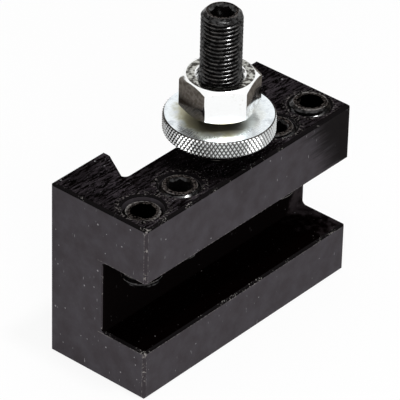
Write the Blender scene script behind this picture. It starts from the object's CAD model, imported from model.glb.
# %% [markdown]
# # A turning tool holder, dressed for a studio render
# The holder is a black steel block that slides on a lathe's tool post. A dovetail is cut in its
# back, a slot for the tool in its front, four clamp screws stand in its top, and a stud carries a
# knurled nut and a hexagon nut that set its height.
#
# The solids come from a CAD program and are already in metres, each where it belongs. This lesson
# adds what CAD leaves plain: real screw threads, fine knurling, softened edges and surfaces that
# look like steel. A solid that is fine as it is keeps its mesh and only gets a material.

# %% Load the solids
import math

import bmesh
import bpy
from mathutils import Matrix, Vector


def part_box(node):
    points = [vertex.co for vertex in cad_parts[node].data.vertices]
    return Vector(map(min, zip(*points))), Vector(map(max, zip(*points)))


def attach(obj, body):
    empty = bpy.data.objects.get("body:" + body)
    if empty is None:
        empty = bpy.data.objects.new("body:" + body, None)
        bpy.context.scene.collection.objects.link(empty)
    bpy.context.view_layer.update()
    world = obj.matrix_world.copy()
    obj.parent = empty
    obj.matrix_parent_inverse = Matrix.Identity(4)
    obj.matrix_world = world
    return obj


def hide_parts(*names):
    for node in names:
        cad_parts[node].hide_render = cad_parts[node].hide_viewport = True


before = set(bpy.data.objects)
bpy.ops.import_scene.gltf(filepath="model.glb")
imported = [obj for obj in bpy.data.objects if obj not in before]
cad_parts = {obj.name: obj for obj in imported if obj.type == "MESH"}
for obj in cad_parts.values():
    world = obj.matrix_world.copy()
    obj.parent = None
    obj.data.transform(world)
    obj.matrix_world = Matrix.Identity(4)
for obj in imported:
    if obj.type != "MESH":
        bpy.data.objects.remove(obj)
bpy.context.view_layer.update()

MM = 0.001
WELD = 0.002 * MM  # vertices nearer than this are one
CUT_SLACK = 0.0005 * MM  # vertices nearer than this to a cutting plane lie on it


def show(name, data):
    """Puts a mesh, a lamp or a camera in the scene as an object."""
    made = bpy.data.objects.new(name, data)
    bpy.context.scene.collection.objects.link(made)
    return made


print("solids:", sorted(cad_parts))

# %% [markdown]
# ## Where each threaded piece stands
# Every screw, nut and stud turns about a vertical axis. The box of its solid gives that axis, its
# radius, and its two ends, so nothing has to be typed in twice. If the CAD model changes, the
# dressed pieces follow it.

# %% Measure the round solids


def stand(node):
    """Axis point at the bottom, radius across Y, and height of an upright round solid."""
    low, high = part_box(node)
    axis = Vector(((low.x + high.x) / 2, (low.y + high.y) / 2, low.z))
    return axis, (high.y - low.y) / 2, high.z - low.z


CLAMP_SCREWS = ["clamp_screw_1", "clamp_screw_2", "clamp_screw_3", "clamp_screw_4"]
for name in CLAMP_SCREWS + ["height_stud", "knurled_nut", "hex_locknut"]:
    axis, radius, height = stand(name)
    print(f"{name}: diameter {2 * radius / MM:.2f}, height {height / MM:.2f} mm")

# %% [markdown]
# ## Building a turned piece ring by ring
# A lathe makes rings: each step of a nut or a socket is one ring that is wider, narrower, higher
# or lower than the last. In bmesh the same thing is an edge loop that is extruded and moved. The
# helper below extrudes a loop and asks a small function where the new ring goes for each angle.
# A round ring answers with one radius. A hexagon answers with the reach of its sides, so round and
# six-sided rings can follow each other, which is just how a socket or a chamfered nut is cut.

# %% The ring helper and the hexagon's reach
RING_SEGMENTS = 72


def next_ring(bm, edges, place):
    """Extrudes a closed loop and moves each new vertex to place(angle) = (radius, height)."""
    made = bmesh.ops.extrude_edge_only(bm, edges=edges)["geom"]
    for vertex in (part for part in made if isinstance(part, bmesh.types.BMVert)):
        angle = math.atan2(vertex.co.y, vertex.co.x)
        radius, height = place(angle)
        vertex.co = Vector((radius * math.cos(angle), radius * math.sin(angle), height))
    return [part for part in made if isinstance(part, bmesh.types.BMEdge)]


def round_ring(radius, height):
    """A place function for a circle."""
    return lambda angle: (radius, height)


def hexagon_reach(flats, turn, angle):
    """Distance from the axis to a hexagon's side, whose first corner stands at angle turn."""
    from_middle = (angle - turn) % (math.pi / 3) - math.pi / 6
    return flats / 2 / math.cos(from_middle)


def first_ring(bm, radius, height, turn=0.0):
    """A loop of plain edges to start from, with a vertex at angle turn."""
    spot = Matrix.Translation((0, 0, height)) @ Matrix.Rotation(turn - math.pi / 2, 4, "Z")
    made = bmesh.ops.create_circle(bm, segments=RING_SEGMENTS, radius=radius, matrix=spot)
    return list({edge for vertex in made["verts"] for edge in vertex.link_edges})


print(f"a 5 mm hexagon reaches {hexagon_reach(5, 0, 0):.3f} mm at its corners")

# %% [markdown]
# ## Turning a bmesh into a finished piece
# When a shape is done its doubles are merged, its faces are made to point outwards, and it is put
# in its place. Flat faces stay crisp and curved ones shade smoothly if only the edges sharper than
# some angle are marked. The object itself stays at the origin and the place goes into the mesh.

# %% The finishing helper
SHARP_ANGLE = math.radians(28)


def finish_piece(bm, name, at):
    """Merges, orients and places a bmesh, and returns it as an object."""
    bmesh.ops.remove_doubles(bm, verts=bm.verts, dist=WELD)
    bmesh.ops.recalc_face_normals(bm, faces=bm.faces)
    bmesh.ops.translate(bm, verts=bm.verts, vec=at)
    open_edges = sum(1 for edge in bm.edges if len(edge.link_faces) != 2)
    for face in bm.faces:
        face.smooth = True
    mesh = bpy.data.meshes.new(name)
    bm.to_mesh(mesh)
    bm.free()
    mesh.set_sharp_from_angle(angle=SHARP_ANGLE)
    piece = show(name, mesh)
    print(f"{name}: {len(mesh.polygons)} faces, {open_edges} open edges")
    return piece


# %% [markdown]
# ## A real screw thread
# A thread could be faked with a bump texture, but a bump never changes the outline, and the edge
# of a screw is where the eye looks for its thread. Here it is cut as a die would cut it. One pitch
# of the standard 60 degree outline is drawn with a few edges, and spin carries it round the axis
# while dvec lifts it a little at every step. After one turn it has climbed exactly one pitch, so
# copies of that turn, each a pitch higher, join once the doubles are merged. Spinning all the turns
# at once gives the same thread but takes far longer, as every step looks at the whole mesh.

# %% Spin one pitch of thread up a helix
THREAD_STEPS = 60
# Height and depth along one pitch of a metric thread: root flat, flank, crest flat, flank.
THREAD_OUTLINE = [(0.0, 1.0), (0.25, 1.0), (0.5625, 0.0), (0.6875, 0.0), (1.0, 1.0)]
THREAD_DEPTH_SHARE = 0.5413


def spin_thread(bm, radius, pitch, length):
    """A right-handed thread, longer than length at both ends, with its crests at radius."""
    depth = THREAD_DEPTH_SHARE * pitch
    corners = []
    for along, sunk in THREAD_OUTLINE:
        spot = (radius - sunk * depth, 0, (along - 2) * pitch)
        corners.append(bm.verts.new(spot))
    sides = [bm.edges.new(pair) for pair in zip(corners, corners[1:])]
    bmesh.ops.spin(
        bm, geom=corners + sides, cent=(0, 0, 0), axis=(0, 0, 1),
        dvec=(0, 0, pitch / THREAD_STEPS), angle=2 * math.pi,
        steps=THREAD_STEPS,
    )
    turn = bm.verts[:] + bm.edges[:] + bm.faces[:]
    for number in range(1, math.ceil(length / pitch) + 3):
        copy = bmesh.ops.duplicate(bm, geom=turn)["geom"]
        raised = [part for part in copy if isinstance(part, bmesh.types.BMVert)]
        bmesh.ops.translate(bm, verts=raised, vec=(0, 0, number * pitch))
    bmesh.ops.remove_doubles(bm, verts=bm.verts, dist=WELD)


# %% [markdown]
# ## Pointing the ends of a screw
# A screw's ends are chamfered, so the first threads run out in a cone. Here extra rings are cut
# just inside each end with bisect_plane, and every vertex outside the cone is drawn in onto it.
# The chamfer is deeper than the thread, so each end closes in a true circle.

# %% Trim and chamfer a thread
CHAMFER_CUTS = 5


def cut(bm, spot, normal, clear_outer=False, clear_inner=False):
    """Cuts a whole bmesh with a plane, and may throw away one side."""
    bmesh.ops.bisect_plane(
        bm, geom=bm.verts[:] + bm.edges[:] + bm.faces[:], dist=CUT_SLACK,
        plane_co=spot, plane_no=normal, clear_outer=clear_outer, clear_inner=clear_inner,
    )


def draw_in(bm, radius, length, bottom_chamfer, top_chamfer):
    """Pulls what stands outside the end cones onto them."""
    for vertex in bm.verts:
        reach = math.hypot(vertex.co.x, vertex.co.y)
        top_limit = radius - top_chamfer + (length - vertex.co.z)
        bottom_limit = radius - bottom_chamfer + vertex.co.z
        limit = min(top_limit, bottom_limit, radius)
        if reach > limit:
            vertex.co.x *= limit / reach
            vertex.co.y *= limit / reach


def trim_thread(bm, radius, length, bottom_chamfer, top_chamfer):
    """Cuts a spun thread to length and chamfers both ends."""
    cut(bm, (0, 0, length), (0, 0, 1), clear_outer=True)
    cut(bm, (0, 0, 0), (0, 0, 1), clear_inner=True)
    for step in range(1, CHAMFER_CUTS + 1):
        share = step / CHAMFER_CUTS
        cut(bm, (0, 0, length - top_chamfer * share), (0, 0, 1))
        cut(bm, (0, 0, bottom_chamfer * share), (0, 0, 1))
    draw_in(bm, radius, length, bottom_chamfer, top_chamfer)


def rim_edges(bm, height):
    """The open edges of a bmesh that lie at one height."""
    return [
        edge for edge in bm.edges
        if len(edge.link_faces) == 1
        and all(abs(vertex.co.z - height) < 0.001 * MM for vertex in edge.verts)
    ]


# %% [markdown]
# ## The hexagon socket
# A socket is drilled, countersunk and then broached. The countersink is a 45 degree cone that is
# only a little wider than the hexagon's corners, so the hexagon's sides rise into it in six small
# arches. A ring that follows the hexagon while its height follows the cone draws those arches.

# %% Cut the socket into a threaded rod
DRILL_POINT = math.radians(59)
DRILL_SHARE = 0.49  # the drill's radius as a share of the hexagon across flats


def cut_socket(bm, length, flats, depth, turn, countersink):
    """Bridges the top of a rod to a countersunk hexagon socket."""
    mouth = flats / math.sqrt(3) + countersink
    outer = rim_edges(bm, length)
    inner = first_ring(bm, mouth, length, turn)
    bmesh.ops.bridge_loops(bm, edges=outer + inner)

    def arches(angle):
        reach = hexagon_reach(flats, turn, angle)
        return reach, length - (mouth - reach)

    def floor_edge(angle):
        return hexagon_reach(flats, turn, angle), length - depth

    walls = next_ring(bm, inner, arches)
    bottom = next_ring(bm, walls, floor_edge)
    drilled = flats * DRILL_SHARE
    cone = next_ring(bm, bottom, round_ring(drilled, length - depth))
    point = length - depth - drilled / math.tan(DRILL_POINT)
    next_ring(bm, cone, round_ring(0.0, point))


def threaded_rod(name, at, radius, length, pitch, chamfers, socket, turn, start):
    """A headless screw: thread, end chamfers, socket and a flat end."""
    flats, depth, countersink = socket
    bm = bmesh.new()
    spin_thread(bm, radius, pitch, length)
    bmesh.ops.rotate(bm, verts=bm.verts, cent=(0, 0, 0), matrix=Matrix.Rotation(start, 3, "Z"))
    trim_thread(bm, radius, length, chamfers[0], chamfers[1])
    cut_socket(bm, length, flats, depth, turn, countersink)
    bmesh.ops.edgeloop_fill(bm, edges=rim_edges(bm, 0.0))
    return finish_piece(bm, name, at)


# %% [markdown]
# ## The four clamp screws and the stud
# The clamp screws are 10 mm headless screws with the common coarse thread of 1.5 mm a turn. The
# stud has a fine thread, about 24 turns to 25.4 mm, because it sets a height. Nobody lines up
# their sockets, so each one is turned by its own angle.

# %% Make the clamp screws
SCREW_PITCH = 1.5 * MM
SCREW_CHAMFERS = (1.15 * MM, 0.85 * MM)
SCREW_SOCKET = (5.0 * MM, 6.0 * MM, 0.2 * MM)  # across flats, depth, countersink
SOCKET_TURNS = (8, 41, 22, 40)  # where each socket stopped, in degrees
THREAD_STARTS = (0.0, 1.7, 3.4, 5.1)  # where each thread starts, in radians

screws = []
for number, name in enumerate(CLAMP_SCREWS):
    axis, radius, height = stand(name)
    screw = threaded_rod(
        f"threaded_{name}", axis, radius, height, SCREW_PITCH, SCREW_CHAMFERS,
        SCREW_SOCKET, math.radians(SOCKET_TURNS[number]), THREAD_STARTS[number],
    )
    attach(screw, f"screw_{number + 1}")
    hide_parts(name)
    screws.append(screw)

# %% Make the stud
STUD_PITCH = 25.4 / 24 * MM
STUD_CHAMFERS = (1.2 * MM, 1.2 * MM)
STUD_SOCKET = (5.0 * MM, 5.0 * MM, 0.35 * MM)
STUD_TURN = math.radians(10.2)
STUD_START = 0.4
axis, radius, height = stand("height_stud")
stud = threaded_rod(
    "threaded_height_stud", axis, radius, height, STUD_PITCH, STUD_CHAMFERS,
    STUD_SOCKET, STUD_TURN, STUD_START,
)
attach(stud, "holder")
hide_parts("height_stud")

# %% [markdown]
# ## The hexagon nut
# A nut is cut from hexagon bar and its corners are turned off at 30 degrees, which leaves the
# round top face and the curved line on each side. The rings go from the bore, over the top, down
# the six sides and back to the bore underneath. A small bevel on every sharp edge catches light
# as tumbled edges do.

# %% Make the hexagon nut ring by ring
NUT_TURN = math.radians(19)
NUT_SLOPE = math.tan(math.radians(30))
NUT_FLATS = 17.0 * MM
NUT_FACE = 16.2 * MM
# The real nut is about 9 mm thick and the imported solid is 8 mm, so its crown is drawn higher here.
CROWN_RISE = 0.9 * MM
NUT_COUNTERSINK = 0.95 * MM
BORE = 5.05 * MM
EDGE_BREAK = 0.12 * MM
SHARP_CORNER = math.radians(20)


def hexagon_nut(name, at, flats, height):
    """A hexagon nut with turned corners and a countersunk bore."""
    crown = NUT_FACE / 2
    bm = bmesh.new()

    def upper(angle):
        reach = hexagon_reach(flats, NUT_TURN, angle)
        return reach, height - (reach - crown) * NUT_SLOPE

    def lower(angle):
        reach = hexagon_reach(flats, NUT_TURN, angle)
        return reach, (reach - crown) * NUT_SLOPE

    mouth = BORE + NUT_COUNTERSINK
    ring = first_ring(bm, BORE, height - NUT_COUNTERSINK, NUT_TURN)
    places = [round_ring(mouth, height), round_ring(crown, height), upper, lower]
    places += [round_ring(crown, 0), round_ring(mouth, 0), round_ring(BORE, NUT_COUNTERSINK)]
    places += [round_ring(BORE, height - NUT_COUNTERSINK)]
    for place in places:
        ring = next_ring(bm, ring, place)
    bmesh.ops.remove_doubles(bm, verts=bm.verts, dist=WELD)
    bmesh.ops.recalc_face_normals(bm, faces=bm.faces)
    sharp = [
        edge for edge in bm.edges
        if len(edge.link_faces) == 2 and edge.calc_face_angle(0) > SHARP_CORNER
    ]
    bmesh.ops.bevel(
        bm, geom=sharp, offset=EDGE_BREAK, offset_type="OFFSET", segments=2,
        profile=0.5, affect="EDGES", material=-1, clamp_overlap=True,
    )
    return finish_piece(bm, name, at)


nut_low, nut_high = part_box("hex_locknut")
stud_axis = stand("height_stud")[0]
nut_at = Vector((stud_axis.x, stud_axis.y, nut_low.z))
nut_height = nut_high.z - nut_low.z + CROWN_RISE
hex_nut = hexagon_nut("chamfered_hex_locknut", nut_at, NUT_FLATS, nut_height)
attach(hex_nut, "locknut")
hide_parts("hex_locknut")

# %% [markdown]
# ## The knurled nut
# Diamond knurling is rolled into the rim by two wheels whose ridges lean opposite ways. It leaves
# some eighty small pyramids round the rim. A displacement map would need a very dense mesh to keep
# them sharp. It is cheaper to knurl a flat strip and then roll it up: a grid is poked so that each
# square becomes a pyramid, turned by 45 degrees so that the squares stand as diamonds, stretched to
# the knurl's own pitch, trimmed to the rim's length and height, and bent round the axis.

# %% Knurl a flat strip
KNURL_COUNT = 83
KNURL_ANGLE = math.radians(31)
KNURL_DEPTH = 0.40 * MM
SPARE_CELLS = 7  # the turned grid has to reach past the strip's corners


def knurled_strip(bm, around, height):
    """A flat strip of raised diamonds: x runs round the rim, y up it, z out of it."""
    cells = KNURL_COUNT + SPARE_CELLS
    bmesh.ops.create_grid(bm, x_segments=cells, y_segments=cells, size=cells / 2)
    bmesh.ops.poke(bm, faces=bm.faces, offset=KNURL_DEPTH, center_mode="MEAN")
    turn = Matrix.Rotation(math.pi / 4, 3, "Z")
    bmesh.ops.rotate(bm, verts=bm.verts, cent=(0, 0, 0), matrix=turn)
    wide = around / KNURL_COUNT
    tall = wide / math.tan(KNURL_ANGLE)
    side = math.sqrt(2)
    bmesh.ops.scale(bm, verts=bm.verts, vec=(wide / side, tall / side, 1))
    bmesh.ops.translate(bm, verts=bm.verts, vec=(0, height / 2, 0))
    trims = [((around / 2, 0, 0), (1, 0, 0)), ((-around / 2, 0, 0), (-1, 0, 0))]
    trims += [((0, height, 0), (0, 1, 0)), ((0, 0, 0), (0, -1, 0))]
    for spot, outwards in trims:
        cut(bm, spot, outwards, clear_outer=True)
    print(f"one tooth is {wide / MM:.2f} mm wide and {tall / MM:.2f} mm tall")


# %% Roll the strip up and give the nut its faces
DISC_CHAMFERS = (0.3 * MM, 0.5 * MM)
DISC_EDGE_BREAK = 0.35 * MM
DISC_RADIUS = 13.5 * MM


def knurled_disc(name, at, radius, height):
    """A round nut with a knurled rim, chamfered edges, flat faces and a bore."""
    bm = bmesh.new()
    knurled_strip(bm, 2 * math.pi * radius, height)
    for step in range(1, CHAMFER_CUTS + 1):
        cut(bm, (0, DISC_CHAMFERS[0] * step / CHAMFER_CUTS, 0), (0, 1, 0))
        cut(bm, (0, height - DISC_CHAMFERS[1] * step / CHAMFER_CUTS, 0), (0, 1, 0))
    for vertex in bm.verts:
        angle = vertex.co.x / radius
        reach = radius - KNURL_DEPTH + vertex.co.z
        up = vertex.co.y
        vertex.co = Vector((reach * math.cos(angle), reach * math.sin(angle), up))
    bmesh.ops.remove_doubles(bm, verts=bm.verts, dist=WELD)
    draw_in(bm, radius, height, DISC_CHAMFERS[0], DISC_CHAMFERS[1])
    top = rim_edges(bm, height)
    bottom = rim_edges(bm, 0.0)
    top = next_ring(bm, top, round_ring(BORE + DISC_EDGE_BREAK, height))
    top = next_ring(bm, top, round_ring(BORE, height - DISC_EDGE_BREAK))
    bottom = next_ring(bm, bottom, round_ring(BORE + DISC_EDGE_BREAK, 0))
    bottom = next_ring(bm, bottom, round_ring(BORE, DISC_EDGE_BREAK))
    bmesh.ops.bridge_loops(bm, edges=top + bottom)
    return finish_piece(bm, name, at)


disc_low, disc_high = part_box("knurled_nut")
disc_at = Vector((stud_axis.x, stud_axis.y, disc_low.z))
disc = knurled_disc("diamond_knurled_nut", disc_at, DISC_RADIUS, disc_high.z - disc_low.z)
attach(disc, "height_nut")
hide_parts("knurled_nut")

# %% [markdown]
# ## One helper for every shader node
# A material is a small graph. The helper adds one node, sets its options, and fills its sockets:
# a plain value is written on the socket, and a node or one of its outputs is linked to it. Colours
# are chosen as hex codes, which are sRGB, and Blender mixes light in linear values, so one function
# converts them. The sums that masks are made of get plain words.

# %% Colour and node helpers


def from_hex(code):
    """A linear RGBA colour from an sRGB hex code."""
    channels = []
    for place in (0, 2, 4):
        value = int(code[place:place + 2], 16) / 255
        if value <= 0.04045:
            channels.append(value / 12.92)
        else:
            channels.append(((value + 0.055) / 1.055) ** 2.4)
    return (*channels, 1.0)


def fill(tree, node, inputs):
    """Fills sockets: text is a colour, and a node gives its first active output."""
    for socket, value in inputs.items():
        if isinstance(value, str):
            value = from_hex(value)
        if isinstance(value, bpy.types.Node):
            value = next(output for output in value.outputs if output.enabled)
        if isinstance(value, bpy.types.NodeSocket):
            tree.links.new(value, node.inputs[socket])
        else:
            node.inputs[socket].default_value = value


def add(tree, kind, inputs=None, **settings):
    """Adds a node with its settings and fills its sockets."""
    made = tree.nodes.new(kind)
    for name, value in settings.items():
        setattr(made, name, value)
    fill(tree, made, inputs or {})
    return made


def new_material(name, inputs=None):
    """A material with a Principled shader on its output."""
    material = bpy.data.materials.new(name)
    material.use_nodes = True
    tree = material.node_tree
    tree.nodes.clear()
    shader = add(tree, "ShaderNodeBsdfPrincipled", inputs)
    add(tree, "ShaderNodeOutputMaterial", {"Surface": shader})
    return material, tree, shader


def per_mm(size):
    """The scale of a pattern whose features are size millimetres wide."""
    return 1 / (size * MM)


MATH = "ShaderNodeMath"
VECTOR_MATH = "ShaderNodeVectorMath"
NOISE = "ShaderNodeTexNoise"
SPLIT = "ShaderNodeSeparateXYZ"
RAMP = "ShaderNodeMapRange"
MIX = "ShaderNodeMix"
FACTOR, FIRST, SECOND = 0, 6, 7
COLOURS = {"data_type": "RGBA"}
SOFT = {"interpolation_type": "SMOOTHSTEP"}
TIMES = {"operation": "MULTIPLY"}
PLUS = {"operation": "ADD"}
LARGER = {"operation": "MAXIMUM"}
ABOVE = {"operation": "GREATER_THAN"}
BELOW = {"operation": "LESS_THAN"}
print("black oxide in linear values:", [round(c, 4) for c in from_hex("403d41")])

# %% [markdown]
# ## Black oxide on the block
# The block is steel that was milled, ground on its outer faces, and blackened in a hot salt bath.
# That gives a charcoal grey that is never quite even: patches lean to blue or to purple, dust and
# tiny chips show pale, and short scratches run up and down. The top was milled and holds oil, so
# it is near black with a fine broken grain. The slot is blacker still, and rubbed at one end.
#
# One material does all of this with object coordinates, which are metres on this block, so a mask
# is only a question of where a point lies or which way its face looks. Each mask is 0 or 1 with a
# soft step between, and masks are multiplied to say "and".

# %% Start the block's material
block_black, tree, shader = new_material("black_oxide_on_ground_steel")
coords = add(tree, "ShaderNodeTexCoord")
place = coords.outputs["Object"]
split = add(tree, SPLIT, {0: place})
facing = add(tree, SPLIT, {0: coords.outputs["Normal"]})
patches = add(tree, NOISE, {"Vector": place, "Scale": per_mm(4), "Detail": 6.0})
patches.inputs["Roughness"].default_value = 0.62
patch_colour = add(tree, RAMP, {"Value": patches, "From Min": 0.36, "From Max": 0.66})
ground = add(tree, MIX, {FACTOR: patch_colour, FIRST: "373336", SECOND: "403d41"}, **COLOURS)
print("patches about 4 mm wide")

# %% Masks for the top, the slot and the chamfers
# The slot's floor, roof and wall, each with a hair to spare.
SLOT_LOW = 13.49 * MM
SLOT_HIGH = 32.51 * MM
SLOT_WALL = -1.5 * MM
block_low, block_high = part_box("holder_block")

looks_up = add(tree, MATH, {0: facing.outputs["Z"], 1: 0.9}, **ABOVE)
high_up = add(tree, MATH, {0: split.outputs["Z"], 1: block_high.z - 0.3 * MM}, **ABOVE)
top_mask = add(tree, MATH, {0: looks_up, 1: high_up}, **TIMES)

over_floor = add(tree, MATH, {0: split.outputs["Z"], 1: SLOT_LOW}, **ABOVE)
under_roof = add(tree, MATH, {0: split.outputs["Z"], 1: SLOT_HIGH}, **BELOW)
before_wall = add(tree, MATH, {0: split.outputs["Y"], 1: SLOT_WALL}, **BELOW)
slot_mask = over_floor
for mask in (under_roof, before_wall):
    slot_mask = add(tree, MATH, {0: slot_mask, 1: mask}, **TIMES)

across = add(tree, MATH, {0: facing.outputs["X"]}, operation="ABSOLUTE")
along = add(tree, MATH, {0: facing.outputs["Y"]}, operation="ABSOLUTE")
upright = add(tree, MATH, {0: facing.outputs["Z"]}, operation="ABSOLUTE")
squarest = add(tree, MATH, {0: across, 1: along}, **LARGER)
squarest = add(tree, MATH, {0: squarest, 1: upright}, **LARGER)
chamfers = add(tree, MATH, {0: squarest, 1: 0.93}, **BELOW)
level_side = add(tree, MATH, {0: upright, 1: 0.3}, **BELOW)
at_front = add(tree, MATH, {0: split.outputs["Y"], 1: 0.0}, **BELOW)
corner_mask = level_side
for mask in (at_front, chamfers):
    corner_mask = add(tree, MATH, {0: corner_mask, 1: mask}, **TIMES)
edge_mask = add(tree, MATH, {0: chamfers, 1: corner_mask}, operation="SUBTRACT")
print("masks: top face, slot, chamfers, front corners")

# %% The milled top with its broken grain
grain = add(tree, NOISE, {"Vector": place, "Scale": per_mm(0.4), "Detail": 3.0})
# The cutter crossed the top at a slant, so its marks lie between the block's two directions. They
# are a little coarser than real ones, to show at this distance.
mill_map = add(tree, "ShaderNodeMapping", {"Vector": place})
mill_map.inputs["Rotation"].default_value = (0, 0, math.radians(50))
mill_map.inputs["Scale"].default_value = (0.20, 1.0, 1.0)
mill_lines = add(tree, NOISE, {"Vector": mill_map, "Scale": per_mm(0.55)})
mill_lines.inputs["Detail"].default_value = 3.0
mill_lines.inputs["Roughness"].default_value = 0.7
mill_shade = add(tree, RAMP, {"Value": mill_lines, "From Min": 0.43, "From Max": 0.61}, **SOFT)
dry_patch = add(tree, NOISE, {"Vector": place, "Scale": per_mm(9), "Detail": 4.0})
dryness = add(tree, RAMP, {"Value": dry_patch, "From Min": 0.38, "From Max": 0.62, "To Min": 0.35})
mill_shade = add(tree, MATH, {0: mill_shade, 1: dryness}, **TIMES)
flat_place = add(tree, "ShaderNodeCombineXYZ", {"X": split.outputs["X"], "Y": split.outputs["Y"]})
from_stud = add(
    tree, VECTOR_MATH, {0: flat_place, 1: (stud_axis.x, stud_axis.y, 0)}, operation="DISTANCE",
)
unoiled = add(
    tree, RAMP, {"Value": from_stud, "From Min": 11 * MM, "From Max": 21 * MM, "To Min": 0.2},
    **SOFT,
)
mill_shade = add(tree, MATH, {0: mill_shade, 1: unoiled}, **TIMES)
top_colour = add(tree, MIX, {FACTOR: mill_shade, FIRST: "030202", SECOND: "353034"}, **COLOURS)
sparkle = add(tree, RAMP, {"Value": grain, "From Min": 0.62, "From Max": 0.68}, **SOFT)
sparkle = add(tree, MATH, {0: sparkle, 1: dryness}, **TIMES)
top_colour = add(tree, MIX, {FACTOR: sparkle, FIRST: top_colour, SECOND: "4b4649"}, **COLOURS)
colour = add(tree, MIX, {FACTOR: top_mask, FIRST: ground, SECOND: top_colour}, **COLOURS)
print("mill marks about 0.55 mm wide")

# %% Bruised rings round the screw holes
nearest = 1.0  # a metre, farther than any screw
for name in CLAMP_SCREWS:
    axis = stand(name)[0]
    gap = add(tree, VECTOR_MATH, {0: flat_place, 1: (axis.x, axis.y, 0)}, operation="DISTANCE")
    nearest = add(tree, MATH, {0: nearest, 1: gap}, operation="MINIMUM")
round_hole = add(
    tree, RAMP, {"Value": nearest, "From Min": 7.3 * MM, "From Max": 5.6 * MM}, **SOFT,
)
flecks = add(tree, NOISE, {"Vector": place, "Scale": per_mm(0.6), "Detail": 4.0})
bruises = add(tree, RAMP, {"Value": flecks, "From Min": 0.54, "From Max": 0.62}, **SOFT)
for mask in (round_hole, looks_up):
    bruises = add(tree, MATH, {0: bruises, 1: mask}, **TIMES)
colour = add(tree, MIX, {FACTOR: bruises, FIRST: colour, SECOND: "5e5a58"}, **COLOURS)
print("bruises within 7.3 mm of each screw")

# %% Deep oxide at the far end of the front
streak_map = add(tree, "ShaderNodeMapping", {"Vector": place})
streak_map.inputs["Scale"].default_value = (0.08, 1.0, 1.0)
streaks = add(tree, NOISE, {"Vector": streak_map, "Scale": per_mm(0.7)})
streaks.inputs["Detail"].default_value = 3.0
along_jaw = add(
    tree, RAMP, {"Value": split.outputs["X"], "From Min": 21 * MM, "From Max": 31 * MM},
    clamp=False,
)
up_jaw = add(
    tree, RAMP, {"Value": split.outputs["Z"], "From Min": 39 * MM, "From Max": 56 * MM},
    clamp=False,
)
depth = add(tree, MATH, {0: along_jaw, 1: up_jaw}, **PLUS)
streak_push = add(
    tree, RAMP,
    {"Value": streaks, "From Min": 0.3, "From Max": 0.7, "To Min": -0.25, "To Max": 0.25},
)
depth = add(tree, MATH, {0: depth, 1: streak_push}, **PLUS)
deep_oxide = add(
    tree, RAMP, {"Value": depth, "From Min": 0.0, "From Max": 1.1, "To Max": 0.92}, **SOFT,
)
on_front = add(tree, MATH, {0: split.outputs["Y"], 1: block_low.y + 1.0 * MM}, **BELOW)
upper_jaw = add(tree, MATH, {0: split.outputs["Z"], 1: SLOT_HIGH}, **ABOVE)
for mask in (on_front, upper_jaw):
    deep_oxide = add(tree, MATH, {0: deep_oxide, 1: mask}, **TIMES)
colour = add(tree, MIX, {FACTOR: deep_oxide, FIRST: colour, SECOND: "0d0b0b"}, **COLOURS)
print("deep oxide from x = 21 mm to the end")

# %% Dark chamfers, chips and rubbed lines
for mask, tone in ((corner_mask, "343033"), (edge_mask, "0b090a")):
    colour = add(tree, MIX, {FACTOR: mask, FIRST: colour, SECOND: tone}, **COLOURS)
chip_small = add(tree, RAMP, {"Value": grain, "From Min": 0.56, "From Max": 0.64}, **SOFT)
chip_patch = add(tree, RAMP, {"Value": patches, "From Min": 0.52, "From Max": 0.60}, **SOFT)
chips = add(tree, MATH, {0: chip_small, 1: chip_patch}, **TIMES)
# Two corners at one end, the block's own and the lower jaw's, are knocked brighter than the rest.
JAW_TOP = 13.0 * MM
knocks = 0.0
for corner_height in (block_high.z, JAW_TOP):
    corner = (block_low.x, block_low.y, corner_height)
    gap = add(tree, VECTOR_MATH, {0: place, 1: corner}, operation="DISTANCE")
    knock = add(tree, RAMP, {"Value": gap, "From Min": 8 * MM, "From Max": 0.0, "To Max": 0.75})
    knocks = add(tree, MATH, {0: knocks, 1: knock}, **LARGER)
knocks = add(tree, MATH, {0: knocks, 1: flecks}, **PLUS)
knocks = add(tree, RAMP, {"Value": knocks, "From Min": 1.16, "From Max": 1.32}, **SOFT)
chips = add(tree, MATH, {0: chips, 1: knocks}, **LARGER)
for share in (chamfers, 0.75):
    chips = add(tree, MATH, {0: chips, 1: share}, **TIMES)
colour = add(tree, MIX, {FACTOR: chips, FIRST: colour, SECOND: "8b8784"}, **COLOURS)
# Each line is a place along one direction, where hands and tools rub the edge beside a chamfer. It
# has a middle and a half width, both in mm.
RUBBED_LINES = (("Z", 12.82, 0.09), ("Z", 33.18, 0.07), ("X", -36.30, 0.08), ("Y", -14.30, 0.08))
rubbed = 0.0
for direction, middle, half in RUBBED_LINES:
    line = add(
        tree, MATH, {0: split.outputs[direction], 1: middle * MM, 2: half * MM},
        operation="COMPARE",
    )
    rubbed = add(tree, MATH, {0: rubbed, 1: line}, **LARGER)
broken = add(
    tree, RAMP, {"Value": flecks, "From Min": 0.46, "From Max": 0.60, "To Max": 0.32}, **SOFT,
)
for mask in (broken, at_front, level_side):
    rubbed = add(tree, MATH, {0: rubbed, 1: mask}, **TIMES)
colour = add(tree, MIX, {FACTOR: rubbed, FIRST: colour, SECOND: "a09b98"}, **COLOURS)
print("rubbed lines:", len(RUBBED_LINES))

# %% Dust and short scratches
specks = add(tree, "ShaderNodeTexVoronoi", {"Vector": place, "Scale": per_mm(2.3)})
speck_pick = add(tree, "ShaderNodeSeparateColor", {0: specks.outputs["Color"]})
speck_size = add(tree, RAMP, {"Value": speck_pick.outputs[1], "To Min": 0.05, "To Max": 0.11})
small = add(tree, MATH, {0: specks.outputs["Distance"], 1: speck_size}, **BELOW)
few = add(tree, MATH, {0: speck_pick.outputs[0], 1: 0.80}, **ABOVE)
dust = add(tree, MATH, {0: small, 1: few}, **TIMES)

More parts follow.
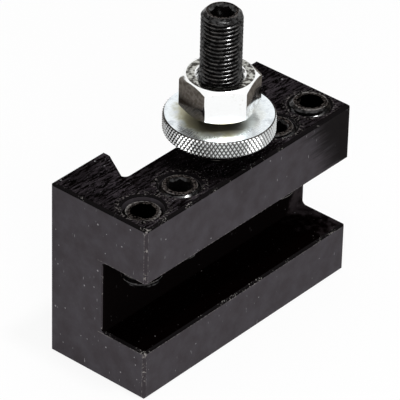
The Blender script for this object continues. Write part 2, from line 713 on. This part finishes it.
stretch = add(tree, "ShaderNodeMapping", {"Vector": place})
stretch.inputs["Rotation"].default_value = (0.30, -0.25, 0.4)
stretch.inputs["Scale"].default_value = (1.0, 1.0, 0.22)
hairs = add(tree, NOISE, {"Vector": stretch, "Scale": per_mm(0.5), "Detail": 1.0})
hair_line = add(
    tree, RAMP, {"Value": hairs, "From Min": 0.755, "From Max": 0.785, "To Max": 0.7}, **SOFT,
)
marks = add(tree, MATH, {0: dust, 1: hair_line}, **LARGER)
off_edges = add(tree, MATH, {0: 1.0, 1: chamfers}, operation="SUBTRACT")
in_light = add(tree, RAMP, {"Value": slot_mask, "To Min": 0.6, "To Max": 0.25})
for mask in (off_edges, in_light):
    marks = add(tree, MATH, {0: marks, 1: mask}, **TIMES)
print("specks 0.2 to 0.5 mm wide")

# %% The slot, rubbed at one end
# Shanks that go in at the far end have rubbed the slot grey there, in broken patches.
far_end = add(
    tree, RAMP, {"Value": split.outputs["X"], "From Min": 26 * MM, "From Max": 36 * MM},
    clamp=False,
)
ragged = add(
    tree, RAMP,
    {"Value": patches, "From Min": 0.3, "From Max": 0.7, "To Min": -0.7, "To Max": 0.7},
)
far_end = add(tree, MATH, {0: far_end, 1: ragged}, **PLUS)
far_end = add(
    tree, RAMP, {"Value": far_end, "From Min": 0.35, "From Max": 1.3, "To Max": 0.9}, **SOFT,
)
slot_colour = add(tree, MIX, {FACTOR: far_end, FIRST: "030101", SECOND: "2c2729"}, **COLOURS)
colour = add(tree, MIX, {FACTOR: slot_mask, FIRST: colour, SECOND: slot_colour}, **COLOURS)
colour = add(tree, MIX, {FACTOR: marks, FIRST: colour, SECOND: "99979a"}, **COLOURS)
print("rubbed patches from x = 26 mm")

# %% Gloss and grain of the block
rough = add(tree, RAMP, {"Value": grain, "To Min": 0.42, "To Max": 0.58})
dull = add(tree, MATH, {0: slot_mask, 1: edge_mask}, **LARGER)
dull = add(tree, MATH, {0: dull, 1: 0.4}, **TIMES)
rough = add(tree, MATH, {0: rough, 1: dull}, **PLUS)
sheen = add(tree, RAMP, {"Value": looks_up, "To Min": 0.03, "To Max": 0.0})
mill_height = add(tree, MATH, {0: mill_lines, 1: top_mask}, **TIMES)
height = add(tree, MATH, {0: grain, 1: mill_height}, **PLUS)
bump = add(tree, "ShaderNodeBump", {"Height": height, "Strength": 0.3, "Distance": 0.02 * MM})
fill(tree, shader, {"Base Color": colour, "Roughness": rough, "Normal": bump})
fill(tree, shader, {"Specular IOR Level": sheen})
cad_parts["holder_block"].data.materials.clear()
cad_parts["holder_block"].data.materials.append(block_black)
print("block roughness 0.42 to 0.58, more in the slot and on the chamfers")

# %% [markdown]
# ## Oiled black fasteners
# The screws and the stud have the same oxide but were left oily, so they are darker and glossier.
# Nuts and fingers rub the thread crests, which turn grey. The mesh knows how far each vertex is
# from the axis, so that is stored as an attribute and the material reads it.

# %% Store how proud each vertex stands


def store_proudness(piece, axis, inner, outer):
    """Writes 0 at radius inner and 1 at radius outer on each vertex, as the attribute proud."""
    attribute = piece.data.attributes.new("proud", "FLOAT", "POINT")
    for index, vertex in enumerate(piece.data.vertices):
        reach = math.hypot(vertex.co.x - axis.x, vertex.co.y - axis.y)
        share = (reach - inner) / (outer - inner)
        attribute.data[index].value = min(1.0, max(0.0, share))


def store_rim(piece, axis, inner):
    """Writes 1 on the vertices of the top face outside a radius, as the attribute rim."""
    attribute = piece.data.attributes.new("rim", "FLOAT", "POINT")
    top = max(vertex.co.z for vertex in piece.data.vertices)
    for index, vertex in enumerate(piece.data.vertices):
        reach = math.hypot(vertex.co.x - axis.x, vertex.co.y - axis.y)
        on_rim = vertex.co.z > top - 0.02 * MM and reach > inner
        attribute.data[index].value = 1.0 if on_rim else 0.0


RIM_INSIDE = 3.3 * MM
threaded = [(name, screw, SCREW_PITCH) for name, screw in zip(CLAMP_SCREWS, screws)]
threaded.append(("height_stud", stud, STUD_PITCH))
for name, piece, pitch in threaded:
    axis, radius, height = stand(name)
    store_proudness(piece, axis, radius - THREAD_DEPTH_SHARE * pitch, radius)
    store_rim(piece, axis, RIM_INSIDE)
store_proudness(disc, stud_axis, DISC_RADIUS - KNURL_DEPTH, DISC_RADIUS)
print("proudness stored on", len(screws) + 2, "pieces")

# %% The fasteners' material
oiled_black, tree, shader = new_material("oiled_black_oxide_screws")
place = add(tree, "ShaderNodeTexCoord").outputs["Object"]
proud = add(tree, "ShaderNodeAttribute", attribute_name="proud").outputs["Fac"]
smears = add(tree, NOISE, {"Vector": place, "Scale": per_mm(1.4), "Detail": 4.0})
body = add(tree, MIX, {FACTOR: smears, FIRST: "020202", SECOND: "0c0a0a"}, **COLOURS)
crest = add(tree, RAMP, {"Value": proud, "From Min": 0.86, "From Max": 0.98}, **SOFT)
rubbed = add(
    tree, RAMP, {"Value": smears, "From Min": 0.42, "From Max": 0.62, "To Max": 0.5}, **SOFT,
)
worn = add(tree, MATH, {0: crest, 1: rubbed}, **TIMES)
rim = add(tree, "ShaderNodeAttribute", attribute_name="rim").outputs["Fac"]
rim_line = add(
    tree, RAMP, {"Value": rim, "From Min": 0.88, "From Max": 1.0, "To Max": 0.75}, **SOFT,
)
chipped = add(tree, NOISE, {"Vector": place, "Scale": per_mm(0.7), "Detail": 3.0})
chipped = add(tree, RAMP, {"Value": chipped, "From Min": 0.38, "From Max": 0.54}, **SOFT)
rim_line = add(tree, MATH, {0: rim_line, 1: chipped}, **TIMES)
# Between the rim and the socket the top is scuffed by keys that missed, and holds some dirt.
scuffs = add(tree, NOISE, {"Vector": place, "Scale": per_mm(0.45), "Detail": 4.0})
scuffs = add(
    tree, RAMP, {"Value": scuffs, "From Min": 0.44, "From Max": 0.62, "To Max": 0.85}, **SOFT,
)
on_top = add(tree, RAMP, {"Value": rim, "From Min": 0.01, "From Max": 0.12}, **SOFT)
scuffs = add(tree, MATH, {0: scuffs, 1: on_top}, **TIMES)
for mask, tone in ((worn, "5c5855"), (scuffs, "4c4643"), (rim_line, "858280")):
    body = add(tree, MIX, {FACTOR: mask, FIRST: body, SECOND: tone}, **COLOURS)
rough = add(tree, RAMP, {"Value": smears, "To Min": 0.14, "To Max": 0.32})
facing = add(tree, SPLIT, {0: add(tree, "ShaderNodeTexCoord").outputs["Normal"]})
# Oil lies in patches that shine. It has run off the flat tops, which stay dull.
up = facing.outputs["Z"]
matt_top = add(
    tree, RAMP, {"Value": up, "From Min": 0.90, "From Max": 0.97, "To Min": 1.0, "To Max": 0.0},
)
oil = add(tree, NOISE, {"Vector": place, "Scale": per_mm(0.8), "Detail": 3.0})
oil = add(
    tree, RAMP, {"Value": oil, "From Min": 0.40, "From Max": 0.60, "To Min": 0.06, "To Max": 0.55},
)
shine = add(tree, MATH, {0: oil, 1: matt_top}, **TIMES)
fill(tree, shader, {"Base Color": body, "Roughness": rough, "Specular IOR Level": shine})
for piece in screws + [stud]:
    piece.data.materials.append(oiled_black)
print("oiled black on", len(screws) + 1, "pieces")

# %% [markdown]
# ## Bright zinc on the nuts
# The nuts are turned steel with bright zinc plating: a pale metal that mirrors what is round it,
# softened by the tool's fine turning rings. Shade settles in the knurl's grooves, oil creeps out
# from under the locknut and dries to an olive film, and handling leaves dull brownish smears.

# %% The knurled nut's material
turned_zinc, tree, shader = new_material("bright_zinc_on_turned_steel", {"Metallic": 1.0})
place = add(tree, "ShaderNodeTexCoord").outputs["Object"]
centred = add(tree, "ShaderNodeMapping", {"Vector": place})
centred.inputs["Location"].default_value = (-stud_axis.x, -stud_axis.y, 0)
# A wave texture repeats about three times to the unit, so the scale is divided by that.
rings = add(
    tree, "ShaderNodeTexWave", {"Vector": centred, "Scale": per_mm(0.6) / 3.14},
    wave_type="RINGS", rings_direction="Z",
)
spokes = add(tree, SPLIT, {0: centred})
angle = add(tree, MATH, {0: spokes.outputs["Y"], 1: spokes.outputs["X"]}, operation="ARCTAN2")
streak_place = add(tree, "ShaderNodeCombineXYZ", {"X": angle})
# The noise runs along the angle in radians, so this many to a radian gives one every 3 degrees.
STREAKS = 22.0
streaks = add(tree, NOISE, {"Vector": streak_place, "Scale": STREAKS, "Detail": 4.0})
smears = add(tree, NOISE, {"Vector": place, "Scale": per_mm(2.2), "Detail": 6.0})
dulled = add(tree, RAMP, {"Value": smears, "From Min": 0.46, "From Max": 0.70}, **SOFT)
metal = add(tree, MIX, {FACTOR: dulled, FIRST: "ecf2f5", SECOND: "d0d6db"}, **COLOURS)
across_flat = add(
    tree, "ShaderNodeCombineXYZ", {"X": spokes.outputs["X"], "Y": spokes.outputs["Y"]},
)
reach = add(tree, VECTOR_MATH, {0: across_flat}, operation="LENGTH")
creep = add(
    tree, RAMP,
    {"Value": smears, "From Min": 0.3, "From Max": 0.7, "To Min": -1.0 * MM, "To Max": 1.0 * MM},
)
edge_of_film = add(tree, MATH, {0: reach, 1: creep}, **PLUS)
film = add(
    tree, RAMP, {"Value": edge_of_film, "From Min": 11.6 * MM, "From Max": 8.9 * MM}, **SOFT,
)
# The film has mostly been wiped off towards the block's front right, where the hand reaches.
FRONT_RIGHT = (0.64, -0.77, 0)
wiped = add(tree, VECTOR_MATH, {0: across_flat, 1: FRONT_RIGHT}, operation="DOT_PRODUCT")
wiped = add(
    tree, RAMP,
    {"Value": wiped, "From Min": 2 * MM, "From Max": 8 * MM, "To Min": 0.8, "To Max": 0.25},
    **SOFT,
)
film = add(tree, MATH, {0: film, 1: wiped}, **TIMES)
at_foot = add(
    tree, RAMP, {"Value": edge_of_film, "From Min": 9.9 * MM, "From Max": 8.0 * MM}, **SOFT,
)
film_colour = add(tree, MIX, {FACTOR: at_foot, FIRST: "948e62", SECOND: "7a6f42"}, **COLOURS)
metal = add(tree, MIX, {FACTOR: film, FIRST: metal, SECOND: film_colour}, **COLOURS)
rough = add(
    tree, RAMP,
    {"Value": streaks, "From Min": 0.3, "From Max": 0.7, "To Min": 0.20, "To Max": 0.32},
)
sticky = add(tree, MATH, {0: film, 1: 0.16}, **TIMES)
rough = add(tree, MATH, {0: rough, 1: sticky}, **PLUS)
bump = add(tree, "ShaderNodeBump", {"Height": rings.outputs["Fac"], "Strength": 0.3})
bump.inputs["Distance"].default_value = 0.02 * MM
fill(tree, shader, {"Base Color": metal, "Roughness": rough, "Normal": bump})
disc.data.materials.append(turned_zinc)
print("film round the locknut fades out at 11.6 mm")

# %% The knurl's own material, with dark grooves
knurl_zinc, tree, shader = new_material(
    "bright_zinc_on_knurled_steel", {"Metallic": 1.0, "Roughness": 0.22},
)
proud = add(tree, "ShaderNodeAttribute", attribute_name="proud").outputs["Fac"]
peak = add(tree, RAMP, {"Value": proud, "From Min": 0.02, "From Max": 0.45}, **SOFT)
metal = add(tree, MIX, {FACTOR: peak, FIRST: "4a4845", SECOND: "cccece"}, **COLOURS)
fill(tree, shader, {"Base Color": metal})
disc.data.materials.append(knurl_zinc)
RIM_STARTS = 12 * MM
for face in disc.data.polygons:
    reach = math.hypot(face.center.x - stud_axis.x, face.center.y - stud_axis.y)
    steep = abs(face.normal.z) < 0.9
    face.material_index = 1 if reach > RIM_STARTS and steep else 0
print("knurl faces:", sum(face.material_index for face in disc.data.polygons))

# %% The hexagon nut's material
nut_zinc, tree, shader = new_material("bright_zinc_on_hexagon_bar", {"Metallic": 1.0})
coords = add(tree, "ShaderNodeTexCoord")
place = coords.outputs["Object"]
facing = add(tree, SPLIT, {0: coords.outputs["Normal"]})
smears = add(tree, NOISE, {"Vector": place, "Scale": per_mm(1.2), "Detail": 6.0})
dulled = add(tree, RAMP, {"Value": smears, "From Min": 0.6, "From Max": 0.8}, **SOFT)
metal = add(tree, MIX, {FACTOR: dulled, FIRST: "fafbfb", SECOND: "e2e1dc"}, **COLOURS)
# One flat stays clean, and those that a spanner gripped are pitted. The foot of one is stained.
CLEAN_FLAT = (-0.656, -0.755, 0)
towards = add(
    tree, VECTOR_MATH, {0: coords.outputs["Normal"], 1: CLEAN_FLAT}, operation="DOT_PRODUCT",
)
gripped = add(tree, RAMP, {"Value": towards, "From Min": 0.85, "From Max": 0.6}, **SOFT)
tilt = add(tree, MATH, {0: facing.outputs["Z"]}, operation="ABSOLUTE")
on_flat = add(tree, MATH, {0: tilt, 1: 0.2}, **BELOW)
gripped = add(tree, MATH, {0: gripped, 1: on_flat}, **TIMES)
pits = add(tree, NOISE, {"Vector": place, "Scale": per_mm(1.0), "Detail": 6.0})
pitted = add(tree, RAMP, {"Value": pits, "From Min": 0.40, "From Max": 0.62, "To Max": 0.6}, **SOFT)
pitted = add(tree, MATH, {0: pitted, 1: gripped}, **TIMES)
metal = add(tree, MIX, {FACTOR: pitted, FIRST: metal, SECOND: "968f86"}, **COLOURS)
height_up = add(tree, SPLIT, {0: place}).outputs["Z"]
stain_top = nut_low.z + 5.0 * MM
stain_core = nut_low.z + 2.6 * MM
foot = add(tree, RAMP, {"Value": height_up, "From Min": stain_top, "From Max": stain_core}, **SOFT)
to_left = add(tree, MATH, {0: facing.outputs["X"], 1: -0.8}, **BELOW)
for share in (to_left, 0.95):
    foot = add(tree, MATH, {0: foot, 1: share}, **TIMES)
metal = add(tree, MIX, {FACTOR: foot, FIRST: metal, SECOND: "40362a"}, **COLOURS)
top_ring = add(tree, MATH, {0: facing.outputs["Z"], 1: 0.97}, **ABOVE)
stains = add(tree, RAMP, {"Value": pits, "From Min": 0.40, "From Max": 0.60}, **SOFT)
sawn = add(tree, MIX, {FACTOR: stains, FIRST: "bdbdb7", SECOND: "36332e"}, **COLOURS)
metal = add(tree, MIX, {FACTOR: top_ring, FIRST: metal, SECOND: sawn}, **COLOURS)
rough = add(tree, RAMP, {"Value": smears, "To Min": 0.08, "To Max": 0.18})
bump = add(tree, "ShaderNodeBump", {"Height": smears, "Strength": 0.15, "Distance": 0.02 * MM})
fill(tree, shader, {"Base Color": metal, "Roughness": rough, "Normal": bump})
hex_nut.data.materials.append(nut_zinc)
print("stain fades out", round((stain_top - nut_low.z) / MM, 1), "mm up the hexagon nut")

# %% [markdown]
# ## Floor, world and lamps
# A dark object on a pale sweep needs no drama: a white floor that throws light back up, a white
# surround, one large soft lamp in front and two small ones overhead. Floor and world answer camera
# and mirror rays with white, so the background is clean, and light the object with a gentler grey,
# so that black stays black.

# %% The floor


def seen_directly(tree):
    """A node that gives 1 for camera, mirror and see-through rays, and 0 for the rest."""
    rays = add(tree, "ShaderNodeLightPath")
    seen = rays.outputs["Is Camera Ray"]
    for kind in ("Is Glossy Ray", "Is Transmission Ray"):
        seen = add(tree, MATH, {0: seen, 1: rays.outputs[kind]}, **LARGER)
    return seen


floor_mesh = bpy.data.meshes.new("pale_floor")
bm = bmesh.new()
bmesh.ops.create_grid(bm, x_segments=1, y_segments=1, size=3.0)
bm.to_mesh(floor_mesh)
bm.free()
floor = show("pale_floor", floor_mesh)

pale_card, tree, shader = new_material(
    "white_paper_sweep", {"Base Color": "f4f4f4", "Roughness": 0.9, "Specular IOR Level": 0.0},
)
seen = add(tree, MATH, {0: seen_directly(tree), 1: 0.88}, **TIMES)
glow = add(tree, "ShaderNodeEmission", {"Color": (1, 1, 1, 1), "Strength": 1.0})
mixed = add(tree, "ShaderNodeMixShader", {0: seen, 1: shader, 2: glow})
fill(tree, tree.nodes["Material Output"], {"Surface": mixed})
floor.data.materials.append(pale_card)
print("floor glows to the camera and to mirrors by 0.88")

# %% The world
world = bpy.data.worlds.new("white_studio")
bpy.context.scene.world = world
world.use_nodes = True
tree = world.node_tree
tree.nodes.clear()
level = add(tree, RAMP, {"Value": seen_directly(tree), "To Min": 0.55, "To Max": 1.0})
sky = add(tree, "ShaderNodeBackground", {"Color": (1, 1, 1, 1), "Strength": level})
add(tree, "ShaderNodeOutputWorld", {"Surface": sky})
print("world: 1.0 to the camera, 0.55 as light")

# %% The lamps
AIM = Vector((0, 0, 35 * MM))


def from_compass(azimuth, elevation):
    """The direction of a compass azimuth and a height angle, both in degrees."""
    a, e = math.radians(azimuth), math.radians(elevation)
    return Vector((math.sin(a) * math.cos(e), -math.cos(a) * math.cos(e), math.sin(e)))


def soft_lamp(name, azimuth, elevation, distance, size, power):
    """A square lamp that looks at the middle of the object from a compass direction."""
    data = bpy.data.lights.new(name, "AREA")
    data.size = size
    data.energy = power
    lamp = show(name, data)
    away = from_compass(azimuth, elevation)
    lamp.location = AIM + distance * away
    lamp.rotation_euler = away.to_track_quat("Z", "Y").to_euler()
    return lamp


# Compass direction and height in degrees, distance and width in metres, power in watts.
soft_lamp("front_softbox", -47, 22, 0.9, 0.5, 4.2)
soft_lamp("top_lamp", 5, 76, 0.8, 0.09, 2.6)
# The last lamp lights by mirror rays alone, for the points of light on oiled threads.
thread_lamp = soft_lamp("thread_lamp", 34, 77, 0.8, 0.06, 7.0)
thread_lamp.visible_diffuse = False

# %% [markdown]
# ## Dark cards for the bright nuts
# Polished metal has hardly any colour of its own. It shows the room, and in an all-white room its
# form disappears. Photographers stand dark cards round it so that some faces mirror white and some
# mirror black. These cards are seen by mirror rays alone: they cast no shadow and take no light.
# They are low, so that the nut's turned corners still look over them at the white room.

# %% Stand the dark cards
card_black, tree, shader = new_material(
    "black_flock_card", {"Base Color": "6b655f", "Roughness": 1.0, "Specular IOR Level": 0.0},
)


def dark_card(name, azimuth, distance, width, height):
    """An upright card, seen in reflections only, that faces the object from a compass direction."""
    bm = bmesh.new()
    away = from_compass(azimuth, 0)
    spot = Matrix.Translation(distance * away + Vector((0, 0, height / 2)))
    spot = spot @ away.to_track_quat("Z", "Y").to_matrix().to_4x4()
    bmesh.ops.create_grid(bm, x_segments=1, y_segments=1, size=0.5)
    bmesh.ops.scale(bm, verts=bm.verts, vec=(width, height, 1))
    bmesh.ops.transform(bm, verts=bm.verts, matrix=spot)
    mesh = bpy.data.meshes.new(name)
    bm.to_mesh(mesh)
    bm.free()
    card = show(name, mesh)
    card.visible_camera = False
    card.visible_shadow = False
    card.visible_diffuse = False
    mesh.materials.append(card_black)


CARD_DISTANCE = 62 * MM
dark_card("left_back_card", -152, CARD_DISTANCE, 100 * MM, 108 * MM)
dark_card("right_card", 90, CARD_DISTANCE, 100 * MM, 75 * MM)
print("cards stand", round(CARD_DISTANCE / MM), "mm from the middle")

# %% [markdown]
# ## The camera
# A long lens from about a metre away keeps the block's edges almost parallel. Its place is given by
# a compass direction, a height angle, a distance and the point that it looks at, and a small roll.

# %% Place the camera
CAMERA_AZIMUTH = -49.786
CAMERA_ELEVATION = 33.855
CAMERA_ROLL = math.radians(1.471)
CAMERA_TARGET = Vector((-0.717, -0.025, 31.979)) * MM
CAMERA_DISTANCE = 909.09 * MM
camera_data = bpy.data.cameras.new("product_camera")
camera_data.sensor_width = 36.0
camera_data.lens = 343.06
camera_data.clip_start = 0.01
camera_data.clip_end = 20.0
camera = show("product_camera", camera_data)
away = from_compass(CAMERA_AZIMUTH, CAMERA_ELEVATION)
level_right = from_compass(CAMERA_AZIMUTH + 90, 0)
level_up = away.cross(level_right)
right = math.cos(CAMERA_ROLL) * level_right + math.sin(CAMERA_ROLL) * level_up
up = math.cos(CAMERA_ROLL) * level_up - math.sin(CAMERA_ROLL) * level_right
turned = Matrix((right, up, away)).transposed().to_4x4()
camera.matrix_world = Matrix.Translation(CAMERA_TARGET + CAMERA_DISTANCE * away) @ turned
bpy.context.scene.camera = camera
bpy.context.scene.view_settings.view_transform = "Standard"
